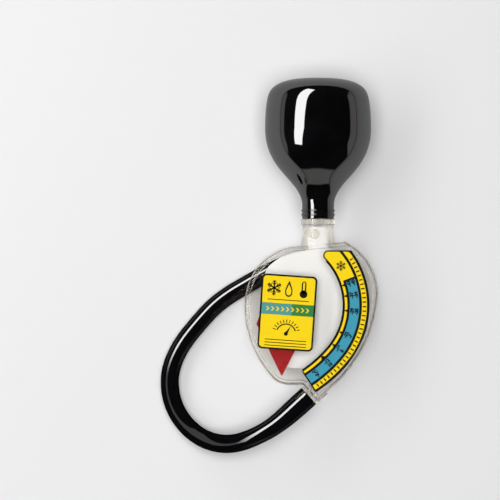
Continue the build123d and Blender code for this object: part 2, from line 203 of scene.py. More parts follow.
class Finish:
    """A material and the nodes that make it."""

    def __init__(self, name):
        self.material = bpy.data.materials.new(name)
        self.material.use_nodes = True
        self.tree = self.material.node_tree
        self.tree.nodes.clear()

    def put(self, socket, value):
        if isinstance(value, Value):
            value = value.socket
        if isinstance(value, bpy.types.NodeSocket):
            self.tree.links.new(value, socket)
        else:
            socket.default_value = value

    def node(self, kind, settings=None, sockets=None):
        """Any node: its settings are set first, then its sockets get values or links."""
        node = self.tree.nodes.new(kind)
        for name, value in (settings or {}).items():
            setattr(node, name, value)
        for key, value in (sockets or {}).items():
            self.put(node.inputs[key], value)
        return node

    def place(self):
        return self.node("ShaderNodeTexCoord").outputs["Object"]

    def stretched(self, place, scale):
        mapping = self.node("ShaderNodeMapping", None, {"Vector": place, "Scale": scale})
        return mapping.outputs["Vector"]

    def noise(self, place, scale, detail=2.0):
        sockets = {"Vector": place, "Scale": scale, "Detail": detail, "Roughness": 0.55}
        return Value(self, self.node("ShaderNodeTexNoise", None, sockets).outputs["Fac"])

    def specks(self, place, scale, share, size):
        """Small dots in some of the cells of a Voronoi pattern."""
        cells = self.node("ShaderNodeTexVoronoi", None, {"Vector": place, "Scale": scale})
        pick = self.node("ShaderNodeSeparateColor", None, {"Color": cells.outputs["Color"]})
        chosen = Value(self, pick.outputs["Red"]) < share
        return chosen * (1 - Value(self, cells.outputs["Distance"]).rise(size * 0.6, size))

    def blend(self, factor, first, second):
        """A colour between two colours."""
        sockets = {"Factor": factor, "A": first, "B": second}
        node = self.tree.nodes.new("ShaderNodeMix")
        node.data_type = "RGBA"
        for name, value in sockets.items():
            kind = "VALUE" if name == "Factor" else "RGBA"
            socket = next(s for s in node.inputs if s.name == name and s.type == kind)
            self.put(socket, value)
        return next(s for s in node.outputs if s.type == "RGBA")

    def gloss(self, most, fall, low=0.25, high=1.0):
        """A share that falls off where the surface turns away, as gloss does on dark rubber."""
        turned_away = self.node("ShaderNodeLayerWeight", None, {"Blend": 0.5}).outputs["Facing"]
        return most - fall * Value(self, turned_away).rise(low, high)

    def bump(self, height, distance, normal=None):
        sockets = {"Height": height, "Distance": distance, "Strength": 1.0}
        if normal is not None:
            sockets["Normal"] = normal
        return self.node("ShaderNodeBump", None, sockets).outputs["Normal"]

    def surface(self, **sockets):
        """The Principled shader, with underscores for the spaces in its sockets' names."""
        named = {name.replace("_", " "): value for name, value in sockets.items()}
        return self.node("ShaderNodeBsdfPrincipled", None, named).outputs["BSDF"]

    def done(self, shader):
        output = self.node("ShaderNodeOutputMaterial")
        self.tree.links.new(shader, output.inputs["Surface"])
        return self.material


def shade(colour, factor):
    return tuple(min(1.0, part * factor) for part in colour)


def rubber_finish(settings):
    """Glossy dipped rubber: faint waves in its gloss, and a little dust."""
    finish = Finish("black_rubber")
    place = finish.place()
    colour = tuple(settings.colour)
    dust = finish.specks(place, 260.0, 0.05, 0.05)
    cloud = finish.noise(place, 55.0, 3.0)
    waves = finish.noise(finish.stretched(place, (1.0, 0.45, 1.0)), 48.0, 1.0)
    grain = finish.noise(place, 2600.0, 1.0)
    normal = finish.bump(waves, 0.00009)
    normal = finish.bump(grain, 0.0000012, normal)
    tint = finish.blend(cloud.rise(0.35, 0.7), (*shade(colour, 0.7), 1), (*shade(colour, 1.4), 1))
    shader = finish.surface(
        Base_Color=finish.blend(dust * 0.5, tint, (0.3, 0.29, 0.28, 1)),
        Roughness=0.2 + cloud * 0.1 + dust * 0.3,
        Specular_IOR_Level=0.0,
        Coat_Weight=finish.gloss(0.66, 0.25),
        Coat_Roughness=0.035,
        Coat_IOR=2.1,
        Normal=normal,
    )
    return finish.done(shader)


def hose_finish(settings):
    """Extruded rubber: fine lines run along it, read from the hose's own lengthwise attribute."""
    finish = Finish("hose_rubber")
    colour = tuple(settings.colour)
    along = finish.node("ShaderNodeAttribute", {"attribute_name": "around_and_along"})
    along = along.outputs["Vector"]
    lines = finish.noise(finish.stretched(along, (9.0, 9.0, 1.2)), 3.0, 3.0)
    cloud = finish.noise(along, 1.6, 2.0)
    dust = finish.specks(finish.place(), 420.0, 0.05, 0.07)
    tint = finish.blend(cloud, (*shade(colour, 0.7), 1), (*shade(colour, 1.5), 1))
    normal = finish.bump(lines, 0.00003)
    parts = finish.node("ShaderNodeSeparateXYZ", None, {"Vector": along})
    centimetres = Value(finish, parts.outputs["Z"])
    dull_bend = centimetres.rise(1.6, 3.2) * (1 - centimetres.rise(9.2, 11.0))
    shader = finish.surface(
        Base_Color=finish.blend(dust * 0.4, tint, (0.25, 0.25, 0.24, 1)),
        Roughness=0.25 + cloud * 0.1 + dust * 0.3,
        Specular_IOR_Level=0.0,
        Coat_Weight=finish.gloss(1.0, 0.93, 0.1, 0.45) * (1 - dull_bend * 0.95),
        Coat_Roughness=0.04,
        Coat_IOR=1.75,
        Normal=normal,
    )
    return finish.done(shader)


def clear_finish(settings):
    """Clear moulded plastic: faint flow marks and scuffs. Rays from lamps pass straight through."""
    finish = Finish("clear_plastic")
    place = finish.place()
    colour = tuple(settings.clear)
    flow = finish.noise(finish.stretched(place, (1.0, 0.5, 1.0)), 70.0, 1.0)
    scuffs = finish.noise(finish.stretched(place, (1.0, 0.12, 1.0)), 900.0, 3.0)
    glass = finish.surface(
        Base_Color=(*colour, 1),
        Roughness=0.012 + scuffs.rise(0.6, 0.75) * 0.07,
        IOR=settings.clear_ior,
        Transmission_Weight=1.0,
        Normal=finish.bump(flow, 0.00003),
    )
    opened = finish.node("ShaderNodeBsdfTransparent", None, {"Color": (1, 1, 1, 1)})
    rays = finish.node("ShaderNodeLightPath")
    lamp_ray = Value(finish, rays.outputs["Is Shadow Ray"])
    passing = lamp_ray.most(Value(finish, rays.outputs["Is Diffuse Ray"]))
    passing = passing.most(finish.gloss(0.84, 0.68, 0.1, 0.6))
    sockets = {0: passing, 1: glass, 2: opened.outputs["BSDF"]}
    return finish.done(finish.node("ShaderNodeMixShader", None, sockets).outputs["Shader"])


def moulded_finish(name, colour, roughness, painted_rim_shade=1.0):
    """Moulded plastic: a fine grain, slow changes of tone, dull smudges, and a rim where the surface turns from view,
    darkened as painted shade when the rim factor is below one.
    """
    finish = Finish(name)
    place = finish.place()
    colour = tuple(colour)
    cloud = finish.noise(place, 90.0, 3.0)
    grain = finish.noise(place, 2200.0, 2.0)
    smudge = finish.noise(place, 210.0, 2.0).rise(0.58, 0.72)
    tint = finish.blend(cloud, (*shade(colour, 0.95), 1), (*shade(colour, 1.04), 1))
    # painted shade: where the surface turns away from view, the colour goes to a darker shade of itself
    rim = 1 - finish.gloss(1.0, 1.0, 0.08, 0.5)
    shader = finish.surface(
        Base_Color=finish.blend(rim, tint, (*shade(colour, painted_rim_shade), 1)),
        Roughness=roughness + cloud * 0.06 + smudge * 0.1,
        IOR=1.49,
        Normal=finish.bump(grain, 0.000004),
    )
    return finish.done(shader)


def metal_finish(name, colour, scale):
    """Ground or turned metal, with fine lines round its own axis."""
    finish = Finish(name)
    place = finish.place()
    colour = tuple(colour)
    lines = finish.noise(finish.stretched(place, (0.2, 0.2, 3.0)), scale, 3.0)
    cloud = finish.noise(place, 300.0, 2.0)
    shader = finish.surface(
        Base_Color=finish.blend(cloud, (*shade(colour, 0.85), 1), (*shade(colour, 1.05), 1)),
        Metallic=1.0,
        Roughness=0.22 + lines * 0.2,
        Normal=finish.bump(lines, 0.00001),
    )
    return finish.done(shader)


def ink_finish(name, colour, roughness=0.25):
    """Printed ink on film: a faint mottle, and a fine orange peel in its gloss."""
    finish = Finish(name)
    place = finish.place()
    colour = tuple(colour)
    mottle = finish.noise(place, 700.0, 3.0)
    peel = finish.noise(place, 1500.0, 1.0)
    shader = finish.surface(
        Base_Color=finish.blend(mottle, (*shade(colour, 0.95), 1), (*shade(colour, 1.04), 1)),
        Roughness=roughness + mottle * 0.08,
        Specular_IOR_Level=0.18,
        Normal=finish.bump(peel, 0.000003),
    )
    return finish.done(shader)


def give_finish(node, material):
    """Puts a finish on a CAD node."""
    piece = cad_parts[node]
    if not piece.material_slots:
        piece.data.materials.append(material)
    for slot in piece.material_slots:
        slot.material = material


def new_piece(name, mesh, material, sharp_angle=40.0):
    """An object at the origin for a finished mesh, with its hard edges kept."""
    if not mesh.polygons:
        raise RuntimeError(name + " has no faces")
    mesh.name = name
    mesh.materials.clear()
    mesh.materials.append(material)
    mesh.shade_smooth()
    mesh.set_sharp_from_angle(angle=math.radians(sharp_angle))
    piece = bpy.data.objects.new(name, mesh)
    bpy.context.scene.collection.objects.link(piece)
    return piece


def smooth_curve(stations, start, end, steps):
    """Points on a smooth curve through the stations, with its directions at both ends."""
    points = np.array(stations, float)
    gaps = np.linalg.norm(np.diff(points, axis=0), axis=1)
    count = len(points)
    rows = np.eye(count)
    sides = np.zeros_like(points)
    sides[0], sides[-1] = start, end
    for i in range(1, count - 1):
        before, after = gaps[i - 1], gaps[i]
        rows[i, i - 1], rows[i, i], rows[i, i + 1] = after, 2 * (before + after), before
        sides[i] = 3 * (
            after * (points[i] - points[i - 1]) / before
            + before * (points[i + 1] - points[i]) / after
        )
    slopes = np.linalg.solve(rows, sides)
    found = []
    for i in range(count - 1):
        for t in np.linspace(0, 1, steps, endpoint=False):
            a, b = points[i], points[i + 1]
            p, q = slopes[i] * gaps[i], slopes[i + 1] * gaps[i]
            found.append(
                (2 * t**3 - 3 * t**2 + 1) * a
                + (t**3 - 2 * t**2 + t) * p
                + (3 * t**2 - 2 * t**3) * b
                + (t**3 - t**2) * q
            )
    found.append(points[-1])
    return [tuple(float(x) for x in point) for point in found]


def rings_to_mesh(rings, closed):
    """Faces between rings of vertices; a ring of one vertex is a pole. Normals point outwards."""
    bm = bmesh.new()
    made = [[bm.verts.new(point) for point in ring] for ring in rings]
    pairs = list(zip(made, made[1:]))
    if closed:
        pairs.append((made[-1], made[0]))
    for lower, upper in pairs:
        around = max(len(lower), len(upper))
        for i in range(around):
            j = (i + 1) % around
            if len(lower) == 1:
                bm.faces.new((lower[0], upper[j], upper[i]))
            elif len(upper) == 1:
                bm.faces.new((lower[i], lower[j], upper[0]))
            else:
                bm.faces.new((lower[i], lower[j], upper[j], upper[i]))
    bmesh.ops.recalc_face_normals(bm, faces=bm.faces)
    mesh = bpy.data.meshes.new("rings")
    bm.to_mesh(mesh)
    bm.free()
    return mesh


def turned(profile, origin, direction, around, closed=False):
    """A mesh turned about an axis from (along, radius) points, and the points of its rings."""
    axis = direction.normalized()
    side = axis.orthogonal().normalized()
    other = axis.cross(side)
    rings = []
    for along, radius in profile:
        centre = origin + axis * along
        if radius < 1e-7:
            rings.append([centre])
            continue
        angles = [2 * math.pi * i / around for i in range(around)]
        rings.append([centre + (side * math.cos(a) + other * math.sin(a)) * radius for a in angles])
    return rings_to_mesh(rings, closed)


def flat_print(outlines, base, thickness):
    """Closed outlines in the plane, filled and given a thickness; an outline in another is a hole."""
    curve = bpy.data.curves.new("outline", "CURVE")
    curve.dimensions = "2D"
    curve.fill_mode = "BOTH"
    curve.extrude = thickness / 2
    for outline in outlines:
        spline = curve.splines.new("POLY")
        spline.points.add(len(outline) - 1)
        for point, (x, y) in zip(spline.points, outline):
            point.co = (x, y, 0, 1)
        spline.use_cyclic_u = True
    return plain_mesh(curve, Matrix.Translation((0, 0, base + thickness / 2)))


def plain_mesh(data, place):
    """A curve or text made a plain closed mesh, and only then moved to its place."""
    holder = bpy.data.objects.new("holder", data)
    bpy.context.scene.collection.objects.link(holder)
    graph = bpy.context.evaluated_depsgraph_get()
    mesh = bpy.data.meshes.new_from_object(holder.evaluated_get(graph))
    bpy.data.objects.remove(holder)
    bpy.data.curves.remove(data)
    mesh.transform(place)
    bm = bmesh.new()
    bm.from_mesh(mesh)
    bmesh.ops.remove_doubles(bm, verts=bm.verts, dist=1e-7)
    bmesh.ops.recalc_face_normals(bm, faces=bm.faces)
    bm.to_mesh(mesh)
    bm.free()
    return mesh


def joined(meshes):
    """Several meshes as one."""
    bm = bmesh.new()
    for mesh in meshes:
        bm.from_mesh(mesh)
        bpy.data.meshes.remove(mesh)
    whole = bpy.data.meshes.new("joined")
    bm.to_mesh(whole)
    bm.free()
    return whole


def rounded_box(half_width, half_height, radius, steps=8):
    """The outline of a rectangle with round corners about the origin."""
    points = []
    for quarter, (x, y) in enumerate(((1, 1), (-1, 1), (-1, -1), (1, -1))):
        centre = (x * (half_width - radius), y * (half_height - radius))
        for i in range(steps + 1):
            angle = math.radians(90 * quarter + 90 * i / steps)
            points.append((centre[0] + radius * math.cos(angle), centre[1] + radius * math.sin(angle)))
    return points


def circle(x, y, radius, count=40):
    angles = [2 * math.pi * i / count for i in range(count)]
    return [(x + radius * math.cos(a), y + radius * math.sin(a)) for a in angles]


def scale_point(radius, angle):
    """A place on the scale; below its turn the bands run out about a centre further back."""
    centre = Vector((PIVOT.x, PIVOT.y))
    if angle < SCALE_TURN:
        turn = math.radians(SCALE_TURN)
        centre -= Vector((math.cos(turn), math.sin(turn))) * SCALE_END_OFFSET
        radius += SCALE_END_OFFSET
    angle = math.radians(angle)
    return (centre.x + radius * math.cos(angle), centre.y + radius * math.sin(angle))


def scale_run(radius, first, last):
    """Points along one radius of the scale, from one angle to another."""
    count = max(2, round(abs(last - first) / 0.7))
    return [scale_point(radius, first + (last - first) * i / count) for i in range(count + 1)]


def margin_angle(radius, width):
    """The angle that a width takes up at a radius of the scale's lower end."""
    return math.degrees(width / (radius + SCALE_END_OFFSET))


def top_angle(radius, top):
    return math.degrees(math.asin(top / radius))


def scale_band(band, low, high):
    """The outline of a part of one band between two angles."""
    inner, outer = band
    return scale_run(inner, low, high) + scale_run(outer, high, low)


def tab_outline():
    """The yellow tab at the scale's top: its inner top corner is round, and it steps in below."""
    inner, outer = INNER_BAND[0], BLUE_BAND[1]
    corner = 1.9 * MM
    corner_y = SCALE_TOP - corner
    corner_angle = math.degrees(math.asin(corner_y / (inner + corner)))
    corner_x = math.sqrt((inner + corner) ** 2 - corner_y**2)
    rounding = []
    for i in range(13):
        angle = math.radians(180 + corner_angle + (90 - 180 - corner_angle) * i / 12)
        x = PIVOT.x + corner_x + corner * math.cos(angle)
        rounding.append((x, PIVOT.y + corner_y + corner * math.sin(angle)))
    points = scale_run(inner, NOTCHES[0] + 0.3, corner_angle) + rounding[1:]
    points += scale_run(outer, top_angle(outer, SCALE_TOP), TAB_END)
    points += scale_run(INNER_BAND[1], TAB_END, NOTCHES[0] + 1.2)
    return points


def notched_segments():
    """The short yellow pieces of the inner band, slanted where a notch splits them."""
    ends = [*NOTCHES, SCALE_END + margin_angle(INNER_BAND[0], 0.7 * MM)]
    outlines = []
    for upper, lower in zip(ends, ends[1:]):
        last = lower == ends[-1]
        near = 0.0 if last else 0.3
        far = 0.0 if last else 1.2
        inner = scale_run(INNER_BAND[0], lower + near, upper - 0.3)
        outer = scale_run(INNER_BAND[1], upper - 1.2, lower + far)
        outlines.append(inner + outer)
    return outlines


def outer_band_outline():
    """The long yellow band at the scale's outer edge, with a round outer top corner."""
    inner, outer = OUTER_BAND
    low = SCALE_END + margin_angle(inner, 0.7 * MM)
    corner = 2.2 * MM
    corner_y = SCALE_TOP - corner
    corner_angle = math.degrees(math.asin(corner_y / (outer - corner)))
    corner_x = math.sqrt((outer - corner) ** 2 - corner_y**2)
    rounding = []
    for i in range(11):
        angle = math.radians(90 + (corner_angle - 90) * i / 10)
        x = PIVOT.x + corner_x + corner * math.cos(angle)
        rounding.append((x, PIVOT.y + corner_y + corner * math.sin(angle)))
    return scale_run(inner, low, top_angle(inner, SCALE_TOP)) + rounding + scale_run(outer, corner_angle, low)[1:]


def info_place(height=0.0):
    """Where the info label's own middle lies in the frame."""
    place = Matrix.Translation((INFO_MIDDLE.x, INFO_MIDDLE.y, PRINT_BASE + height))
    return place @ Matrix.Rotation(INFO_TURN, 4, "Z")


def numeral(text, height, place):
    """A plain number as a thin mesh."""
    data = bpy.data.curves.new("numeral", "FONT")
    data.body = text
    data.size = height
    data.align_x = "CENTER"
    data.align_y = "CENTER"
    data.offset = height * 0.07
    data.extrude = PRINT_THICKNESS / 2
    return plain_mesh(data, place)


def repeat_tree():
    """A Geometry Nodes tree that copies a piece along a row, turning each copy by a set angle."""
    tree = bpy.data.node_groups.get("repeated_print")
    if tree:
        return tree
    tree = bpy.data.node_groups.new("repeated_print", "GeometryNodeTree")
    sockets = (
        ("Pattern", "NodeSocketGeometry"),
        ("Count", "NodeSocketInt"),
        ("Start", "NodeSocketVector"),
        ("Step", "NodeSocketVector"),
        ("First turn", "NodeSocketFloat"),
        ("Turn", "NodeSocketFloat"),
        ("Finish", "NodeSocketMaterial"),
    )
    for name, kind in sockets:
        tree.interface.new_socket(name, in_out="INPUT", socket_type=kind)
    tree.interface.new_socket("Copies", in_out="OUTPUT", socket_type="NodeSocketGeometry")
    nodes, link = tree.nodes, tree.links.new
    given = nodes.new("NodeGroupInput")
    line = nodes.new("GeometryNodeMeshLine")
    line.mode = "OFFSET"
    link(given.outputs["Count"], line.inputs["Count"])
    link(given.outputs["Start"], line.inputs["Start Location"])
    link(given.outputs["Step"], line.inputs["Offset"])
    index = nodes.new("GeometryNodeInputIndex")
    turned_by = nodes.new("ShaderNodeMath")
    turned_by.operation = "MULTIPLY_ADD"
    link(index.outputs["Index"], turned_by.inputs[0])
    link(given.outputs["Turn"], turned_by.inputs[1])
    link(given.outputs["First turn"], turned_by.inputs[2])
    rotation = nodes.new("ShaderNodeCombineXYZ")
    link(turned_by.outputs["Value"], rotation.inputs["Z"])
    copies = nodes.new("GeometryNodeInstanceOnPoints")
    link(line.outputs["Mesh"], copies.inputs["Points"])
    link(given.outputs["Pattern"], copies.inputs["Instance"])
    link(rotation.outputs["Vector"], copies.inputs["Rotation"])
    real = nodes.new("GeometryNodeRealizeInstances")
    link(copies.outputs["Instances"], real.inputs["Geometry"])
    painted = nodes.new("GeometryNodeSetMaterial")
    link(real.outputs["Geometry"], painted.inputs["Geometry"])
    link(given.outputs["Finish"], painted.inputs["Material"])
    result = nodes.new("NodeGroupOutput")
    link(painted.outputs["Geometry"], result.inputs["Copies"])
    return tree


def repeated(pattern, count, start, step=(0, 0, 0), first_turn=0.0, turn=0.0, finish=None):
    """A small mesh copied in a row or round a centre by the Geometry Nodes tree."""
    tree = repeat_tree()
    holder = bpy.data.objects.new("holder", pattern)
    bpy.context.scene.collection.objects.link(holder)
    modifier = holder.modifiers.new("copies", "NODES")
    modifier.node_group = tree
    wanted = {
        "Count": count,
        "Start": start,
        "Step": step,
        "First turn": first_turn,
        "Turn": turn,
        "Finish": finish,
    }
    for item in tree.interface.items_tree:
        if item.item_type == "SOCKET" and item.in_out == "INPUT" and item.name in wanted:
            modifier[item.identifier] = wanted[item.name]
    graph = bpy.context.evaluated_depsgraph_get()
    mesh = bpy.data.meshes.new_from_object(holder.evaluated_get(graph))
    holder.modifiers.remove(modifier)
    bpy.data.objects.remove(holder)
    bpy.data.meshes.remove(pattern)
    return mesh


def bulb_side(inset, steps):
    """The bulb's side from the end of its neck to its top, drawn in by the wall for the inside."""
    foot = BULB_RIM + BULB_NECK_LENGTH
    top = BULB_TOP - inset

    def station(shares):
        return (foot + shares[0] * (top - foot), shares[1] * BULB_RADIUS - inset)

    belly = station(BULB_BELLY)
    lower = [(foot, BULB_NECK_RADIUS - inset), *[station(s) for s in BULB_LOWER], belly]
    upper = [belly, *[station(s) for s in BULB_UPPER], (top, 0.0)]
    below = smooth_curve(lower, (1, 0), (1, 0), steps)
    above = smooth_curve(upper, (1, 0), (0, -1), steps)
    return below + above[1:]


def bulb_profile(settings):
    """The bulb's whole wall: up its outside from the rim, over the top and down its inside."""
    lip = 0.35 * MM
    outer = []
    inner_radius = BULB_NECK_RADIUS - BULB_WALL
    for i in range(7):
        angle = math.pi / 2 * i / 6
        x = BULB_RIM + lip * (1 - math.sin(angle))
        outer.append((x, BULB_NECK_RADIUS - lip * (1 - math.cos(angle))))
    outer.reverse()
    for bead in range(BULB_BEADS):
        centre = BULB_RIM + (bead + 1) * BULB_BEAD_SPACING
        for i in range(13):
            angle = math.pi * (1 - i / 12)
            height = settings.bead_height * math.sin(angle)
            outer.append((centre + 0.55 * MM * math.cos(angle), BULB_NECK_RADIUS + height))
    outer += bulb_side(0.0, 18)
    inner = bulb_side(BULB_WALL, 10)
    inner.reverse()
    inner += [(BULB_RIM + lip, inner_radius), (BULB_RIM, inner_radius + lip)]
    return inner + outer


def build_bulb(settings):
    """The squeeze bulb, turned about its axis from its profile, in place of the CAD bulb."""
    origin = Vector((BULB_MIDDLE.x, 0, BULB_MIDDLE.z))
    mesh = turned(bulb_profile(settings), origin, Vector((0, 1, 0)), settings.around)
    bulb = new_piece("bulb_skin", mesh, rubber_finish(settings))
    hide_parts("squeeze_bulb")
    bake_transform(bulb)


def route_line():
    """Points of the NURBS spline that the hose's route gives."""
    curve = bpy.data.curves.new("route", "CURVE")
    curve.dimensions = "3D"
    curve.resolution_u = 24
    spline = curve.splines.new("NURBS")
    spline.points.add(len(HOSE_ROUTE) - 1)
    for point, place in zip(spline.points, HOSE_ROUTE):
        point.co = (*place, 1)
    spline.order_u = 3
    spline.use_endpoint_u = True
    holder = bpy.data.objects.new("holder", curve)
    bpy.context.scene.collection.objects.link(holder)
    graph = bpy.context.evaluated_depsgraph_get()
    mesh = bpy.data.meshes.new_from_object(holder.evaluated_get(graph))
    line = [vertex.co.copy() for vertex in mesh.vertices]
    bpy.data.objects.remove(holder)
    bpy.data.curves.remove(curve)
    bpy.data.meshes.remove(mesh)
    return line


class Line:
    """A path with a direction and two sides at each place along it, carried without twist."""

    def __init__(self, points):
        self.points = points
        self.reach = [0.0]
        for a, b in zip(points, points[1:]):
            self.reach.append(self.reach[-1] + (b - a).length)
        self.length = self.reach[-1]
        directions = [(b - a).normalized() for a, b in zip(points, points[1:])]
        directions.append(directions[-1])
        side = Vector((0, 0, 1)).cross(directions[0]).normalized()
        self.frames = []
        for direction in directions:
            side = (side - direction * side.dot(direction)).normalized()
            self.frames.append((direction, side))

    def ring(self, along, radius, around):
        i = max(k for k, reach in enumerate(self.reach) if reach <= along + 1e-9)
        i = min(i, len(self.points) - 2)
        share = (along - self.reach[i]) / (self.reach[i + 1] - self.reach[i])
        centre = self.points[i].lerp(self.points[i + 1], share)
        direction = self.frames[i][0].lerp(self.frames[i + 1][0], share).normalized()
        side = self.frames[i][1].lerp(self.frames[i + 1][1], share)
        side = (side - direction * side.dot(direction)).normalized()
        other = direction.cross(side)
        angles = [2 * math.pi * k / around for k in range(around)]
        return [centre + (side * math.cos(a) + other * math.sin(a)) * radius for a in angles]


def mark_lengthwise(mesh, alongs, around):
    """Gives each vertex its place round and along the hose, for the hose's finish."""
    attribute = mesh.attributes.new("around_and_along", "FLOAT_VECTOR", "POINT")
    values = []
    for along in alongs:
        for k in range(around):
            angle = 2 * math.pi * k / around
            values += [math.cos(angle), math.sin(angle), along * 100]
    attribute.data.foreach_set("vector", values)


def build_hose(settings):
    """The suction hose along its route, and its end stretched over the spout."""
    finish = hose_finish(settings)
    line = Line(route_line())
    around = settings.around
    lip = 0.45 * MM
    count = round(line.length / (1.0 * MM))
    reach = line.length - lip
    start = SLEEVE_LENGTH + SLEEVE_TAPER
    outside = [(s, HOSE_RADIUS + stretch(start + s)) for s in (reach * i / count for i in range(count + 1))]
    wall_end = [
        (line.length - 0.15 * MM, HOSE_RADIUS - 0.13 * MM),
        (line.length, HOSE_RADIUS - lip),
        (line.length, HOSE_BORE + lip),
        (line.length - 0.15 * MM, HOSE_BORE + 0.13 * MM),
    ]
    inside = [(reach * i / count, HOSE_BORE) for i in range(count, -1, -1)]
    stations = outside + wall_end + inside
    mesh = rings_to_mesh([line.ring(s, r, around) for s, r in stations], closed=True)
    mark_lengthwise(mesh, [s for s, r in stations], around)
    tube = new_piece("hose_tube", mesh, finish)
    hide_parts("hose")
    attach(tube, "case")
    stations = sleeve_stations(settings)
    mesh = turned(stations, SPOUT_FACE, SPOUT_DIRECTION, around, closed=True)
    mark_lengthwise(mesh, [s for s, r in stations], around)
    sleeve = new_piece("hose_sleeve", mesh, finish)
    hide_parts("hose")
    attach(sleeve, "case")


def stretch(along):
    """How much wider than its own radius the hose is, that far from the spout's face."""
    share = min(1, max(0, (along - STRETCH_START) / (STRETCH_END - STRETCH_START)))
    return (SLEEVE_RADIUS - HOSE_RADIUS) * (1 - share * share * (3 - 2 * share))


def sleeve_stations(settings):
    """The stretched end's wall: faint rings over the spout's barbs, and a smooth taper."""
    whole = SLEEVE_LENGTH + SLEEVE_TAPER
    lip = 0.4 * MM
    stations = [(0, SLEEVE_BORE + lip), (0, SLEEVE_RADIUS - lip), (0.12 * MM, SLEEVE_RADIUS - 0.12 * MM)]
    for i in range(61):
        along = lip + (whole - lip) * i / 60
        ring = (1 - math.cos(2 * math.pi * (whole - along) / (2.8 * MM))) / 2
        fade = max(0, 1 - along / SLEEVE_LENGTH)
        stations.append((along, HOSE_RADIUS + stretch(along) - settings.barb_swell * ring * fade))
    stations += [(whole, HOSE_BORE), (SLEEVE_LENGTH, SLEEVE_BORE), (lip, SLEEVE_BORE)]
    return stations


def printed(name, mesh, finish):
    """A printed piece on one of the labels."""
    piece = new_piece(name, mesh, finish)
    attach(piece, "case")
    return piece


def print_scale(settings):
    """The scale's film, its yellow and blue bands and its plain numbers."""
    give_finish("scale_label", ink_finish("scale_film", settings.black))
    yellow = ink_finish("scale_yellow", settings.yellow)
    outlines = [tab_outline(), *notched_segments(), outer_band_outline()]
    printed("scale_yellow_bands", flat_print(outlines, PRINT_BASE, PRINT_THICKNESS), yellow)
    low = SCALE_END + margin_angle(BLUE_BAND[0], 0.7 * MM)
    blue = flat_print([scale_band(BLUE_BAND, low, TAB_END - 1.5)], PRINT_BASE, PRINT_THICKNESS)
    printed("scale_blue_band", blue, ink_finish("scale_blue", settings.blue))
    black = ink_finish("scale_black", settings.black)
    numbers = []
    base = PRINT_BASE + PRINT_THICKNESS
    for angle, pair in (*zip(NOTCHES, NUMBERS), (UNITS_ANGLE, UNITS)):
        for text, radius in zip(pair, NUMBER_ROWS):
            x, y = scale_point(radius, angle)
            turn = Matrix.Rotation(math.radians(angle + 90), 4, "Z")
            place = Matrix.Translation((x, y, base)) @ turn
            numbers.append(numeral(text, settings.number_height, place))
    printed("scale_numbers", joined(numbers), black)
    printed("scale_ticks", scale_ticks(black), black)
    flake = repeated(snowflake_arm(), 6, (0, 0, 0), turn=math.pi / 3, finish=black)
    x, y = scale_point(sum((INNER_BAND[0], BLUE_BAND[1])) / 2, FLAKE_ANGLE)
    flake.transform(Matrix.Translation((x, y, base)) @ Matrix.Diagonal((0.66, 0.66, 1, 1)))
    printed("scale_snowflake", flake, black)
    low, high = SCALE_END + margin_angle(BLACK_EDGE[1], 0.6 * MM), top_angle(BLACK_EDGE[1], SCALE_TOP - 4.6 * MM)
    film = PRINT_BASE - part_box("scale_label")[0].z
    edge = flat_print([scale_band(BLACK_EDGE, low, high)], PRINT_BASE - film, film)
    printed("scale_black_edge", edge, black)


def scale_ticks(black):
    """Plain division marks along the outer yellow band, in its upper and its lower run."""
    middle = sum(OUTER_BAND) / 2
    half_length, half_width = 0.92 * MM, 0.34 * MM
    turn = math.radians(SCALE_TURN)
    centre = Vector((PIVOT.x - math.cos(turn) * SCALE_END_OFFSET, PIVOT.y - math.sin(turn) * SCALE_END_OFFSET))
    base = PRINT_BASE + PRINT_THICKNESS
    rows = []
    for place, radius, first, step, count in (
        ((PIVOT.x, PIVOT.y, base), middle, SCALE_TURN, 3.0, 25),
        ((centre.x, centre.y, base), middle + SCALE_END_OFFSET, SCALE_TURN - 1.83, -1.83, 8),
    ):
        ends = (radius - half_length, radius + half_length)
        outline = [(ends[0], -half_width), (ends[1], -half_width), (ends[1], half_width), (ends[0], half_width)]
        tick = flat_print([outline], 0, PRINT_THICKNESS)
        rows.append(repeated(tick, count, place, first_turn=math.radians(first), turn=math.radians(step), finish=black))
    return joined(rows)


def snowflake_arm():
    """One arm of a snowflake, drawn outwards from its middle."""
    half = 0.36 * MM
    outline = [(-half, 0), (half, 0), (half, 3.9 * MM), (-half, 3.9 * MM)]
    twigs = []
    for side in (1, -1):
        for foot, reach in ((1.5 * MM, 1.15 * MM), (2.6 * MM, 0.9 * MM)):
            twigs.append([
                (0, foot - half),
                (side * reach, foot + reach - half),
                (side * reach, foot + reach + half * 0.7),
                (0, foot + half * 0.7),
            ])
    return joined([flat_print([shape], 0, PRINT_THICKNESS) for shape in (outline, *twigs)])


def drop_outline(x, y, size):
    """A drop with its point up."""
    points = []
    for i in range(48):
        t = 2 * math.pi * i / 48
        points.append((x + size * 0.62 * math.sin(t) * math.sin(t / 2) ** 1.3, y + size * math.cos(t)))
    return points


def print_info(settings):
    """The info label: yellow film with a black edge, generic symbols and a two-colour band."""
    give_finish("info_label", ink_finish("info_film", settings.black))
    place = info_place()
    width, height = INFO_HALF
    border = 0.9 * MM
    yellow = flat_print([rounded_box(width - border, height - border, 1.7 * MM)], 0, PRINT_THICKNESS)
    yellow.transform(place)
    printed("info_yellow_field", yellow, ink_finish("info_yellow", settings.yellow))
    raised = info_place(PRINT_THICKNESS)
    inside = width - border
    low, high = -1.4 * MM, 4.5 * MM
    left = flat_print([[(-inside, low), (2.2 * MM, low), (2.2 * MM, high), (-inside, high)]], 0, PRINT_THICKNESS)
    left.transform(raised)
    printed("info_teal_band", left, ink_finish("info_teal", settings.teal))
    right = flat_print([[(2.2 * MM, low), (inside, low), (inside, high), (2.2 * MM, high)]], 0, PRINT_THICKNESS)
    right.transform(raised)
    printed("info_green_band", right, ink_finish("info_green", settings.green))
    print_symbols(settings, inside, (low + high) / 2, raised)


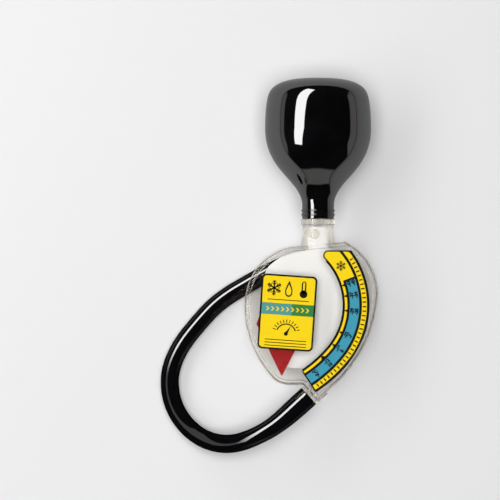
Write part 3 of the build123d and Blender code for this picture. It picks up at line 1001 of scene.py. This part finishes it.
def print_symbols(settings, inside, band_middle, raised):
    """Snowflake, drop and thermometer above the band, chevrons in it, and a small dial below."""
    black = ink_finish("info_black", settings.black)
    full_turn = 2 * math.pi
    shapes = [
        repeated(snowflake_arm(), 6, (-7.6 * MM, 12.2 * MM, 0), turn=full_turn / 6, finish=black),
        flat_print([drop_outline(0, 12.2 * MM, 4.2 * MM), drop_outline(0, 11.7 * MM, 2.9 * MM)], 0, PRINT_THICKNESS),
    ]
    stem = rounded_box(1.2 * MM, 3.2 * MM, 1.19 * MM)
    bore = rounded_box(0.5 * MM, 2.3 * MM, 0.49 * MM)
    stem = [(x + 7.6 * MM, y + 13.2 * MM) for x, y in stem]
    bore = [(x + 7.6 * MM, y + 13.6 * MM) for x, y in bore]
    bulb = circle(7.6 * MM, 9.9 * MM, 2.0 * MM)
    shapes.append(flat_print([stem, bore], 0, PRINT_THICKNESS))
    shapes.append(flat_print([bulb], 0, PRINT_THICKNESS))
    half_rule = 0.2 * MM
    rule = [(-10.6 * MM, -half_rule), (10.6 * MM, -half_rule), (10.6 * MM, half_rule), (-10.6 * MM, half_rule)]
    shapes.append(flat_print([[(x, y + 6.3 * MM) for x, y in rule]], 0, PRINT_THICKNESS))
    rules = flat_print([rule], 0, PRINT_THICKNESS)
    shapes.append(repeated(rules, 3, (0, -14.2 * MM, 0), (0, -1.5 * MM, 0), finish=black))
    tick = [(5.7 * MM, -0.22 * MM), (7.3 * MM, -0.22 * MM), (7.3 * MM, 0.22 * MM), (5.7 * MM, 0.22 * MM)]
    tick = flat_print([tick], 0, PRINT_THICKNESS)
    dial = (0, -10.9 * MM, 0)
    shapes.append(repeated(tick, 11, dial, first_turn=math.radians(20), turn=math.radians(14), finish=black))
    arc = []
    for radius, angles in ((5.3 * MM, range(20, 161, 5)), (4.7 * MM, range(160, 19, -5))):
        arc += [(radius * math.cos(math.radians(a)), dial[1] + radius * math.sin(math.radians(a))) for a in angles]
    shapes.append(flat_print([arc], 0, PRINT_THICKNESS))
    needle = [(-0.6 * MM, dial[1] + 0.3 * MM), (0.7 * MM, dial[1] - 0.2 * MM), (2.3 * MM, dial[1] + 4.3 * MM)]
    shapes.append(flat_print([needle], 0, PRINT_THICKNESS))
    shapes.append(flat_print([circle(0, dial[1], 1.0 * MM)], 0, PRINT_THICKNESS))
    symbols = joined(shapes)
    symbols.transform(raised)
    printed("info_symbols", symbols, black)
    chevron = [(-0.9 * MM, -1.1 * MM), (-0.1 * MM, -1.1 * MM), (0.9 * MM, 0), (-0.1 * MM, 1.1 * MM), (-0.9 * MM, 1.1 * MM), (0.1 * MM, 0)]
    row = flat_print([chevron], 0, PRINT_THICKNESS)
    start = (-10.2 * MM, band_middle, 0)
    yellow = ink_finish("info_chevrons", settings.yellow)
    row = repeated(row, 9, start, (2.55 * MM, 0, 0), finish=yellow)
    row.transform(info_place(2 * PRINT_THICKNESS))
    printed("info_chevron_row", row, yellow)


def finish_case(settings):
    """Clear plastic for the case's two halves."""
    clear = clear_finish(settings)
    give_finish("front_shell", clear)
    give_finish("rear_shell", clear)


def finish_dial(settings):
    """Finishes of what lies in the case: plate, rivet, pointer, weight and pin."""
    give_finish("dial_plate", moulded_finish("white_plastic", settings.white, 0.3))
    # the rivet's rim is painted with shade, down to 0.35 of its cream
    give_finish("plate_rivet", moulded_finish("cream_plastic", settings.cream, 0.28, 0.35))
    give_finish("pointer", moulded_finish("red_plastic", settings.red, 0.25))
    give_finish("pointer_weight", metal_finish("brass", (0.78, 0.56, 0.24), 900.0))
    give_finish("pivot_pin", metal_finish("steel", (0.62, 0.62, 0.63), 1200.0))


def stage_finish(name, colour):
    """The floor's plain pale paint, with a barely visible mottle."""
    finish = Finish(name)
    place = finish.place()
    mottle = finish.noise(place, 3.0, 3.0)
    colour = tuple(colour)
    shader = finish.surface(
        Base_Color=finish.blend(mottle, (*shade(colour, 0.985), 1), (*shade(colour, 1.01), 1)),
        Roughness=0.7,
    )
    return finish.done(shader)


def area_light(name, place, aim, size, radiance, on_matt, on_gloss, roll=0.0):
    """A rectangular lamp aimed at a point and rolled about its aim, with a set brightness."""
    data = bpy.data.lights.new(name, "AREA")
    data.shape = "RECTANGLE"
    data.size, data.size_y = size
    data.energy = radiance * math.pi * size[0] * size[1]
    lamp = bpy.data.objects.new(name, data)
    direction = (Vector(aim) - Vector(place)).normalized()
    side = Vector((0, 1, 0)).cross(-direction).normalized()
    up = (-direction).cross(side)
    turn = Matrix((side, up, -direction)).transposed().to_4x4()
    lamp.matrix_world = Matrix.Translation(place) @ turn @ Matrix.Rotation(roll, 4, "Z")
    lamp.visible_camera = False
    lamp.visible_diffuse = on_matt
    lamp.visible_glossy = on_gloss
    lamp.visible_transmission = on_gloss
    bpy.context.scene.collection.objects.link(lamp)
    return lamp


def studio_world(settings):
    """A pale wall of light low down, higher to the right, under a dark ceiling.

    What is seen through clear plastic is a paler room, dark only right above.
    """
    world = bpy.data.worlds.new("studio")
    bpy.context.scene.world = world
    world.use_nodes = True
    room = Finish.__new__(Finish)
    room.tree = world.node_tree
    room.tree.nodes.clear()
    direction = room.node("ShaderNodeTexCoord").outputs["Generated"]
    parts = room.node("ShaderNodeSeparateXYZ", None, {"Vector": direction})
    x, y, z = (Value(room, parts.outputs[name]) for name in "XYZ")
    flat = (x * x + y * y).most(0.0001) ** 0.5
    east, north = x / flat, y / flat
    sides = 1 - (north * north).rise(0.12, 0.5)
    front = 0.24 - (north + 1) * 2
    top = front.most(-0.12 + sides * (0.28 + east.rise(-0.5, 0.5) * 0.12))
    wall = 1 - (z - top).rise(-0.03, 0.03)
    low_wall = (*[settings.horizon * part for part in (1.0, 0.97, 0.91)], 1)
    ceiling = (*[settings.ceiling] * 3, 1)
    reflected = room.blend(wall * (1 - north.rise(0.3, 0.8) * 0.6), ceiling, low_wall)
    pale = (*[settings.beyond * part for part in (1.0, 0.95, 0.85)], 1)
    seen_through = room.blend(z.rise(0.35, 0.9), pale, ceiling)
    rays = room.node("ShaderNodeLightPath")
    colour = room.blend(Value(room, rays.outputs["Is Transmission Ray"]), reflected, seen_through)
    background = room.node("ShaderNodeBackground", None, {"Color": colour})
    output = room.node("ShaderNodeOutputWorld")
    room.tree.links.new(background.outputs["Background"], output.inputs["Surface"])


def build_stage(settings):
    """Floor, lamps, world and the camera that looks straight down."""
    bm = bmesh.new()
    bmesh.ops.create_grid(bm, x_segments=8, y_segments=8, size=3.0)
    mesh = bpy.data.meshes.new("floor")
    bm.to_mesh(mesh)
    bm.free()
    floor = new_piece("floor", mesh, stage_finish("floor_paint", settings.floor))
    studio_world(settings)
    aim = (-0.01, 0.0, 0.02)
    area_light("key_strip_light", (-0.70, 0.35, 0.78), aim, (0.38, 2.0), settings.key, True, False)
    roll = math.radians(-12.0)
    place = (-0.610, 0.300, 0.765)
    area_light("key_strip_gloss", place, aim, (0.38, 1.9), settings.gloss, False, True, roll)
    area_light("fill_above", (-0.03, 0.02, 1.9), aim, (1.0, 1.0), settings.fill, True, False)
    data = bpy.data.cameras.new("camera")
    data.lens = 210.0
    data.sensor_width = 36.0
    data.clip_end = 20.0
    camera = bpy.data.objects.new("camera", data)
    camera.location = (settings.view_x, settings.view_y, settings.view_height)
    bpy.context.scene.collection.objects.link(camera)
    bpy.context.scene.camera = camera
    bpy.context.scene.view_settings.view_transform = "Standard"


def colour_property(name, description, default):
    return FloatVectorProperty(
        name=name, description=description, default=default, subtype="COLOR", size=3, min=0.0, max=1.0
    )


class TesterBulbSettings(bpy.types.PropertyGroup):
    """The squeeze bulb's looks."""

    colour: colour_property("Rubber", "Colour of the bulb's rubber", (0.0025, 0.0025, 0.003))
    bead_height: FloatProperty(
        name="Bead height", description="How far the rings on the neck stand out",
        default=0.0005, min=0.0, max=0.001, unit="LENGTH", precision=5,
    )
    around: IntProperty(
        name="Faces round", description="Faces round the bulb", default=144, min=24, max=256
    )


class TesterHoseSettings(bpy.types.PropertyGroup):
    """The suction hose's looks."""

    colour: colour_property("Rubber", "Colour of the hose's rubber", (0.0025, 0.0025, 0.003))
    barb_swell: FloatProperty(
        name="Barb swell", description="How far the spout's barbs show through the stretched end",
        default=0.00003, min=0.0, max=0.0008, unit="LENGTH", precision=5,
    )
    around: IntProperty(
        name="Faces round", description="Faces round the hose", default=48, min=16, max=96
    )


class TesterPlasticSettings(bpy.types.PropertyGroup):
    """Colours of the plastics."""

    clear: colour_property("Clear", "Tint of the clear case", (0.90, 0.80, 0.62))
    clear_ior: FloatProperty(
        name="Clear IOR", description="How much the clear plastic bends light", default=1.49,
        min=1.0, max=2.0,
    )
    white: colour_property("White", "Colour of the dial plate", (0.95, 0.95, 0.945))
    cream: colour_property("Cream", "Colour of the rivet", (0.80, 0.79, 0.70))
    red: colour_property("Red", "Colour of the float pointer", (0.38, 0.005, 0.008))


class TesterPrintSettings(bpy.types.PropertyGroup):
    """Inks of the scale and the info label."""

    yellow: colour_property("Yellow", "Yellow ink", (0.97, 0.69, 0.009))
    blue: colour_property("Blue", "Blue ink of the scale", (0.055, 0.33, 0.46))
    teal: colour_property("Teal", "Left part of the info label's band", (0.085, 0.33, 0.31))
    green: colour_property("Green", "Right part of the info label's band", (0.035, 0.22, 0.06))
    black: colour_property("Black", "Black ink and film", (0.008, 0.008, 0.008))
    number_height: FloatProperty(
        name="Number height", description="Height of the numbers' line", default=0.0024,
        min=0.001, max=0.004, unit="LENGTH", precision=5,
    )


class TesterStageSettings(bpy.types.PropertyGroup):
    """Floor, lamps and camera."""

    floor: colour_property("Floor", "Colour of the floor", (0.84, 0.84, 0.845))
    key: FloatProperty(name="Key", description="Light of the strip lamp on matt surfaces", default=2.2, min=0.0)
    gloss: FloatProperty(name="Gloss", description="Brightness of the strip in gloss", default=11.0, min=0.0)
    fill: FloatProperty(name="Fill", description="Brightness of the lamp above", default=9.3, min=0.0)
    horizon: FloatProperty(name="Horizon", description="Brightness of the ring of light", default=0.65, min=0.0)
    ceiling: FloatProperty(name="Ceiling", description="Brightness of the dark ceiling", default=0.006, min=0.0)
    beyond: FloatProperty(
        name="Beyond", description="Brightness of the room seen through clear plastic",
        default=0.75, min=0.0,
    )
    view_x: FloatProperty(name="View X", description="Middle of the picture", default=-0.03144, unit="LENGTH")
    view_y: FloatProperty(name="View Y", description="Middle of the picture", default=-0.00218, unit="LENGTH")
    view_height: FloatProperty(
        name="View height", description="Height of the camera", default=1.52725, unit="LENGTH"
    )


class TESTER_OT_case(bpy.types.Operator):
    """Give the case's two halves their clear plastic"""

    bl_idname = "tester.case"
    bl_label = "Clear Case"

    def execute(self, context):
        finish_case(context.scene.tester_plastic)
        return {"FINISHED"}


class TESTER_OT_dial(bpy.types.Operator):
    """Give the plate, rivet, pointer, weight and pin their finishes"""

    bl_idname = "tester.dial"
    bl_label = "Dial and Pointer"

    def execute(self, context):
        finish_dial(context.scene.tester_plastic)
        return {"FINISHED"}


class TESTER_OT_scale(bpy.types.Operator):
    """Print the curved scale with its plain numbers"""

    bl_idname = "tester.scale"
    bl_label = "Scale Print"

    def execute(self, context):
        print_scale(context.scene.tester_print)
        return {"FINISHED"}


class TESTER_OT_info(bpy.types.Operator):
    """Print the info label with its generic symbols"""

    bl_idname = "tester.info"
    bl_label = "Info Label Print"

    def execute(self, context):
        print_info(context.scene.tester_print)
        return {"FINISHED"}


class TESTER_OT_bulb(bpy.types.Operator):
    """Build the squeeze bulb"""

    bl_idname = "tester.bulb"
    bl_label = "Squeeze Bulb"

    def execute(self, context):
        build_bulb(context.scene.tester_bulb)
        return {"FINISHED"}


class TESTER_OT_hose(bpy.types.Operator):
    """Build the suction hose and its stretched end"""

    bl_idname = "tester.hose"
    bl_label = "Suction Hose"

    def execute(self, context):
        build_hose(context.scene.tester_hose)
        return {"FINISHED"}


class TESTER_OT_stage(bpy.types.Operator):
    """Set up the floor, the lamps and the camera"""

    bl_idname = "tester.stage"
    bl_label = "Stage"

    def execute(self, context):
        build_stage(context.scene.tester_stage)
        return {"FINISHED"}


class TESTER_PT_sidebar(bpy.types.Panel):
    """The tester's steps, in the 3D view's sidebar"""

    bl_idname = "TESTER_PT_sidebar"
    bl_label = "Antifreeze Tester"
    bl_space_type = "VIEW_3D"
    bl_region_type = "UI"
    bl_category = "Tester"

    def draw(self, context):
        for operator in OPERATORS:
            self.layout.operator(operator.bl_idname)
        for group in GROUPS:
            box = self.layout.box()
            settings = getattr(context.scene, group)
            for name in settings.bl_rna.properties.keys():
                if name not in ("rna_type", "name"):
                    box.prop(settings, name)


OPERATORS = (
    TESTER_OT_case,
    TESTER_OT_dial,
    TESTER_OT_scale,
    TESTER_OT_info,
    TESTER_OT_bulb,
    TESTER_OT_hose,
    TESTER_OT_stage,
)
GROUPS = {
    "tester_bulb": TesterBulbSettings,
    "tester_hose": TesterHoseSettings,
    "tester_plastic": TesterPlasticSettings,
    "tester_print": TesterPrintSettings,
    "tester_stage": TesterStageSettings,
}


def register():
    for group in (*GROUPS.values(), *OPERATORS, TESTER_PT_sidebar):
        bpy.utils.register_class(group)
    for name, group in GROUPS.items():
        setattr(bpy.types.Scene, name, PointerProperty(type=group))


def unregister():
    for name in GROUPS:
        delattr(bpy.types.Scene, name)
    for group in reversed((*GROUPS.values(), *OPERATORS, TESTER_PT_sidebar)):
        bpy.utils.unregister_class(group)


def main():
    register()
    bpy.ops.tester.stage()
    bpy.ops.tester.hose()
    bpy.ops.tester.bulb()
    bpy.ops.tester.case()
    bpy.ops.tester.dial()
    bpy.ops.tester.scale()
    bpy.ops.tester.info()


if __name__ == "__main__":
    main()
